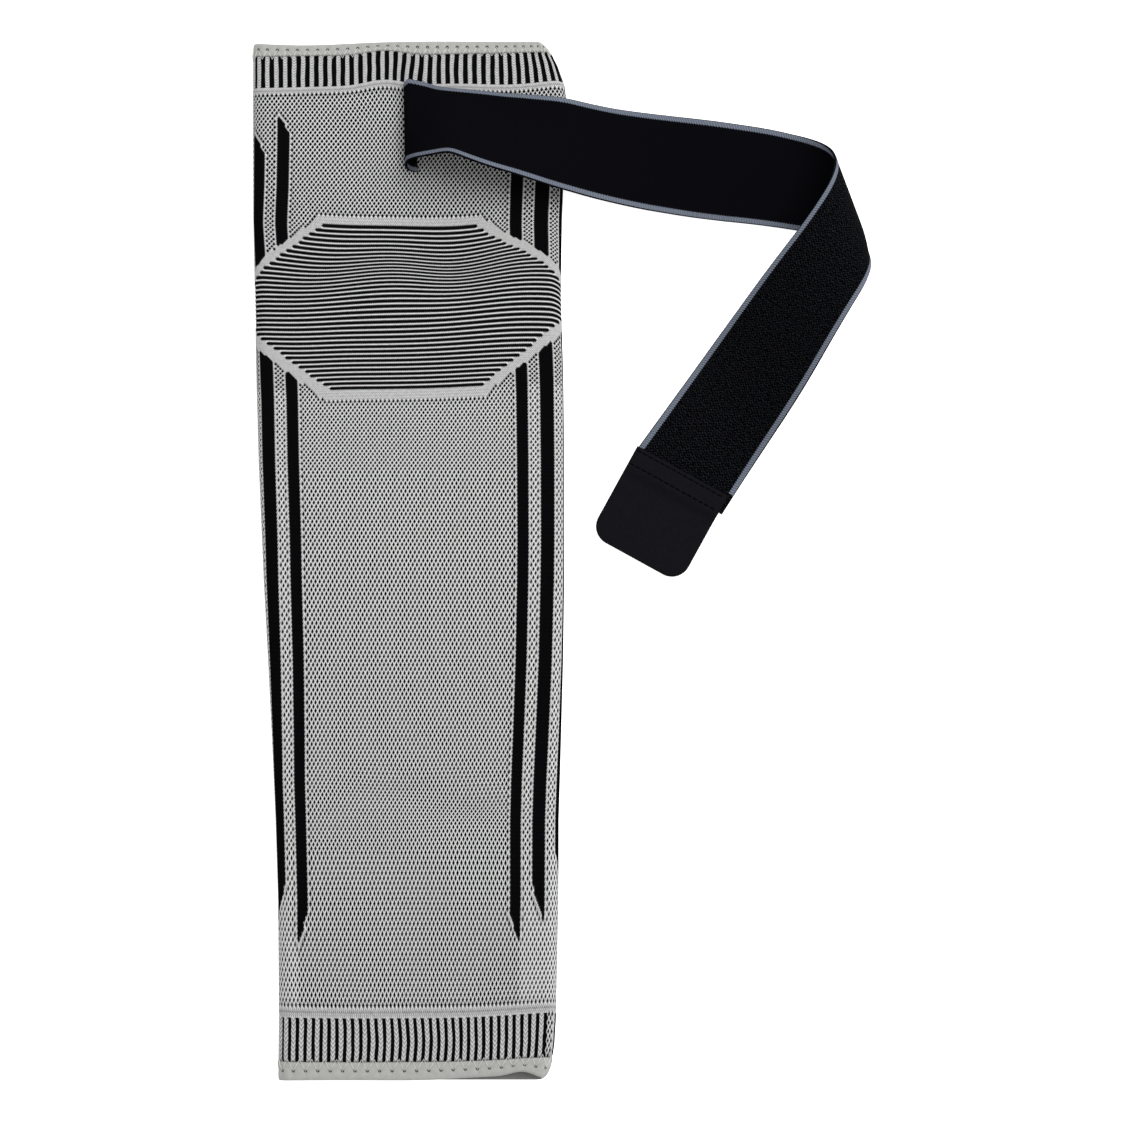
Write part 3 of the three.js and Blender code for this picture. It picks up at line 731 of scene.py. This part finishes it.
root, fold = strap_root(), strap_fold()
run = strap_run(root[-1], fold[0])
middle = np.concatenate([root, run, fold])
joint = len(root) + len(run)
for begin, end in ((len(root), len(root) + EASE_ROLL), (joint - EASE_BEFORE, joint + EASE_AFTER)):
    for _ in range(EASE_TIMES):
        middle[begin:end] = (middle[begin - 1 : end - 1] + middle[begin + 1 : end + 1]) / 2
facing = np.cross(np.gradient(middle, axis=0), np.gradient(middle, span, axis=1))
facing /= np.linalg.norm(facing, axis=2)[..., None]
gone = np.concatenate([[0], np.cumsum(np.linalg.norm(np.diff(middle[:, len(span) // 2], axis=0), axis=1))])
rim = np.minimum(span, STRAP_WIDTH - span)
edge = np.clip(rim / RIM_ROUND, 0, 1)
plump = np.where(rim < SELVEDGE, SELVEDGE_HALF, WEB_HALF) * np.sqrt(1 - RIM_THIN * (1 - edge) ** 2)
skin = facing * plump[None, :, None]
loops = np.concatenate([middle + skin, (middle - skin)[:, ::-1]], 1)
caps = [np.concatenate([row, row[::-1]])[None] for row in (middle[0], middle[-1])]
behind = 2 * STRAP_WIDTH + FACE_GAP
around = np.concatenate([span, behind - span[::-1], [behind + FACE_GAP]])
length_marks = np.concatenate([[-FACE_GAP / 2], gone, [gone[-1] + FACE_GAP / 2]])
chart = np.stack(np.meshgrid(around, length_marks), -1)
strap = net("elastic_strap", np.concatenate([caps[0], loops, caps[1]]), chart)


def weld(piece):
    """Joins the points that meet at a piece's closed ends."""
    cloth = bmesh.new()
    cloth.from_mesh(piece.data)
    bmesh.ops.remove_doubles(cloth, verts=cloth.verts, dist=1e-6)
    cloth.to_mesh(piece.data)
    cloth.free()


weld(strap)
WEB_TINT = (0.95, 0.95, 1.35)
ROUGH_TINTS = (0.95, 0.95, 1.3), (0.93, 0.97, 1.2)
BLUE_TINTS = (0.9, 1.0, 1.26), (0.87, 1.0, 1.27)
# On this chart u runs round the strap and v along it. The back and the selvedges are found first.
material, chart = bare("elastic_webbing")
u, v = chart.part(0), chart.part(1)
back = u.step(STRAP_WIDTH + 0.4 * FACE_GAP, STRAP_WIDTH + 0.6 * FACE_GAP)
off = abs(u - (STRAP_WIDTH + FACE_GAP) * back - STRAP_WIDTH / 2)
inner = STRAP_WIDTH / 2 - SELVEDGE
outmost = off.step(STRAP_WIDTH / 2 - 0.45, STRAP_WIDTH / 2 - 0.3)
woven = (off - 0.5 * (v * 0.75).peak()).step(inner - 0.3, inner - 0.1) * (1 - outmost)
under = abs(u - STRAP_WIDTH - FACE_GAP / 2).step(STRAP_WIDTH / 2, STRAP_WIDTH / 2 + 1)
woven = woven * (1 - under * v.step(gone[-1] - TAB_COVER, gone[-1] - TAB_COVER + 0.4))
# The face has fine even picks, the back is crinkled, its crinkles painted lighter on their ridges as
# highlight, and the selvedges are ribbed.
pick = (v * 1.25 + 0.5 * (u * 0.7).peak()).peak()
crepe = (v * 0.6 + 0.7 * (u * 0.5).peak() + 1.2 * chart.noise(0.3)).peak() * chart.noise(0.7)
smooth = pick.mix(grey(0.0012, WEB_TINT), grey(0.0032, WEB_TINT))
rough = crepe.step(0.1, 0.6).mix(grey(0.0002, ROUGH_TINTS[0]), grey(0.0105, ROUGH_TINTS[1]))
rib = (v * 0.75 + 0.35 * u).peak()
blue = (rib * 0.7 + chart.noise(1.2) * 0.3).mix(grey(0.08, BLUE_TINTS[0]), grey(0.18, BLUE_TINTS[1]))
dress(
    strap,
    material,
    chart,
    {
        "Base Color": woven.mix(back.mix(smooth, rough), blue),
        "Roughness": 0.9,
        "Specular IOR Level": 0.008,
        "Normal": (woven * rib + (1 - woven) * (back * crepe + (1 - back) * pick * 0.3)).bump(0.4),
    },
)
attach(strap, "root")
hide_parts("strap")

# The hook tab is a stiffened square of smooth charcoal cloth, sewn over the end of the strap in two rows.
# It is stepped up where it laps the strap, and its two free corners are rounded.
TAB_WIDTH, TAB_LENGTH, TAB_CORNER, TAB_THICK = 54.0, 52.4, 10.0, 1.6
TAB_LAP, TAB_STEP = 10.6, 7.0
TAB_TOP, TAB_DOWN = np.array((140.7, 47.4)), unit((-0.482, -0.876))
TAB_SIDE = np.array((-TAB_DOWN[1], TAB_DOWN[0]))
TAB_TINT = (0.96, 0.96, 1.25)
# Its rim thins out over a narrow strip, down to a share of the thickness.
TAB_BRINK, BRINK_THIN = 0.7, 0.35
# Rows of stitches: place down the tab, distance from its sides, and the dip of the cloth along them.
SEAMS, SEAM_MARGIN = (2.0, 9.8), 1.0
SEAM_DIP, SEAM_REACH = 0.2, 0.7
STITCH, STITCH_GAP, STITCH_RADIUS, STITCH_POINTS = 2.5, 0.9, 0.3, 5
STITCH_SINK, STITCH_RISE = 0.25, 0.28
# Rows of points over the lap, the step, the flat and the round corners, and columns from rim to rim.
LAP_ROWS, STEP_ROWS, FLAT_ROWS, CORNER_ROWS = 14, 7, 11, 13
RIM_COLUMNS = np.array((-1, -0.992, -0.975))
CLOTH_COLUMNS = np.linspace(-0.94, 0.94, 31)


def tab_point(across, at, high):
    """A place on the tab: across it, down it, and its height."""
    drop = np.clip((at - TAB_LAP) / TAB_STEP, 0, 1)
    low = (STRAP_THICK + STRAP_GAP) * (1 - drop * drop * (3 - 2 * drop))
    flat = TAB_TOP + np.asarray(across)[..., None] * TAB_SIDE + np.asarray(at)[..., None] * TAB_DOWN
    return np.concatenate([flat, (low + high)[..., None]], -1)


turn = np.linspace(0, np.pi / 2, CORNER_ROWS)
down = np.concatenate([
    np.linspace(0, TAB_LAP, LAP_ROWS),
    TAB_LAP + TAB_STEP * np.linspace(0.15, 1, STEP_ROWS),
    np.linspace(TAB_LAP + TAB_STEP + 1.4, TAB_LENGTH - TAB_CORNER - 0.4, FLAT_ROWS),
    TAB_LENGTH - TAB_CORNER + TAB_CORNER * np.sin(turn),
])
into = np.clip((down - (TAB_LENGTH - TAB_CORNER)) / TAB_CORNER, 0, 1)
half = TAB_WIDTH / 2 - TAB_CORNER * (1 - np.sqrt(1 - into**2))
share = np.concatenate([RIM_COLUMNS, CLOTH_COLUMNS, -RIM_COLUMNS[::-1]])
brink = np.minimum(half[:, None] * (1 - abs(share)), np.minimum(down, TAB_LENGTH - down)[:, None])
swell = TAB_THICK / 2 * (BRINK_THIN + (1 - BRINK_THIN) * np.sqrt(np.clip(brink / TAB_BRINK, 0, 1)))
seam_dip = sum(SEAM_DIP * np.exp(-(((down - at) / SEAM_REACH) ** 2)) for at in SEAMS)[:, None]
at = np.broadcast_to(down[:, None], brink.shape)
upper = tab_point(half[:, None] * share, at, TAB_THICK / 2 + swell - seam_dip)
lower = tab_point(half[:, None] * share, at, TAB_THICK / 2 - swell)
mid = tab_point(half[:, None] * share, at, np.full(brink.shape, TAB_THICK / 2))
loops = np.concatenate([upper, lower[:, ::-1]], 1)
caps = [np.concatenate([row, row[::-1]])[None] for row in (mid[0], mid[-1])]
front = TAB_WIDTH / 2 * (share + 1)
behind = 2 * TAB_WIDTH + FACE_GAP
around = np.concatenate([front, behind - front[::-1], [behind + FACE_GAP]])
length_marks = np.concatenate([[-FACE_GAP / 2], down, [TAB_LENGTH + FACE_GAP / 2]])
chart = np.stack(np.meshgrid(around, length_marks), -1)
tab = net("hook_tab_cloth", np.concatenate([caps[0], loops, caps[1]])[::-1], chart[::-1])
weld(tab)
material, chart = bare("charcoal_cloth")
thread_up, thread_over = (chart.part(0) * 1.6).peak(), (chart.part(1) * 1.6).peak()
weave = thread_up * thread_over
dress(
    tab,
    material,
    chart,
    {
        "Base Color": (weave * 0.6 + chart.noise(0.4) * 0.4).mix(
            grey(0.0036, TAB_TINT), grey(0.0086, TAB_TINT)
        ),
        "Roughness": 0.75,
        "Specular IOR Level": 0.02,
        "Normal": (weave * 0.4 + chart.noise(0.9, 4.0)).bump(0.3),
    },
)
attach(tab, "root")
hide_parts("hook_tab")
material, chart = bare("black_thread")
finish = {
    "Base Color": (chart.part(0) * 0.5).peak().mix(grey(0.0006), grey(0.0026)),
    "Roughness": 0.9,
    "Specular IOR Level": 0.0,
}
side_end = TAB_WIDTH / 2 - SEAM_MARGIN
along_stitch = np.linspace(0, 1, STITCH_POINTS)
upward = np.tile((0, 0, 1.0), (STITCH_POINTS, 1))
for number, row in enumerate(SEAMS):
    stitches = []
    for begin in np.arange(-side_end, side_end - STITCH, STITCH + STITCH_GAP):
        high = TAB_THICK - STITCH_SINK + STITCH_RISE * np.sin(np.pi * along_stitch)
        way = tab_point(begin + STITCH * along_stitch, np.full(STITCH_POINTS, row), high)
        stitches.append(cord("stitch", way, upward, STITCH_RADIUS, closed=False))
    with bpy.context.temp_override(active_object=stitches[0], selected_editable_objects=stitches):
        bpy.ops.object.join()
    seam = stitches[0]
    seam.name = "tab_seam_%d" % (number + 1)
    if number == 0:
        dress(seam, material, chart, finish)
    else:
        seam.data.materials.append(material)
    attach(seam, "root")

# The floor is a plain pale sheet, lit softly from all round with one large lamp high on the right.
# The camera looks straight down on the middle of the frame, as the photograph does.
VIEW_WIDTH, VIEW_DISTANCE, VIEW_MIDDLE, SENSOR = 587.0, 1400.0, (78.4, -1.0), 36.0
FLOOR_SIZE, FLOOR_DROP, FLOOR_GLOW = 8000.0, 0.5, 0.75
ROOM_LIGHT = 0.77
LAMP_SIZE, LAMP_POWER = 1200.0, 32.0
LAMP_PLACE, LAMP_AIM = np.array((750.0, 750.0, 1500.0)), np.array((80.0, 50.0, 0.0))
bpy.ops.mesh.primitive_plane_add(size=FLOOR_SIZE * MM, location=(0, 0, -FLOOR_DROP * MM))
floor = bpy.context.object
floor.name = "floor"
material, chart = bare("pale_floor")
pale = {"Base Color": grey(0.86), "Roughness": 0.95, "Specular IOR Level": 0.0}
dress(floor, material, chart, {**pale, "Emission Color": grey(1.0), "Emission Strength": FLOOR_GLOW})

world = bpy.data.worlds.new("soft_room")
world.use_nodes = True
world.node_tree.nodes["Background"].inputs["Color"].default_value = grey(1.0)
world.node_tree.nodes["Background"].inputs["Strength"].default_value = ROOM_LIGHT
bpy.context.scene.world = world
lamp = bpy.data.objects.new("high_lamp", bpy.data.lights.new("high_lamp", "AREA"))
lamp.data.size = LAMP_SIZE * MM
lamp.data.energy = LAMP_POWER
lamp.location = LAMP_PLACE * MM
aim = LAMP_AIM - LAMP_PLACE
lamp.rotation_euler = (np.arctan2(np.hypot(*aim[:2]), -aim[2]), 0, np.arctan2(aim[1], aim[0]) - np.pi / 2)
bpy.context.scene.collection.objects.link(lamp)

camera = bpy.data.objects.new("overhead_camera", bpy.data.cameras.new("overhead_camera"))
camera.data.sensor_width = SENSOR
camera.data.lens = SENSOR * VIEW_DISTANCE / VIEW_WIDTH
camera.location = (VIEW_MIDDLE[0] * MM, VIEW_MIDDLE[1] * MM, (VIEW_DISTANCE + HEIGHT / 2) * MM)
bpy.context.scene.collection.objects.link(camera)
bpy.context.scene.camera = camera
bpy.context.scene.view_settings.view_transform = "Standard"
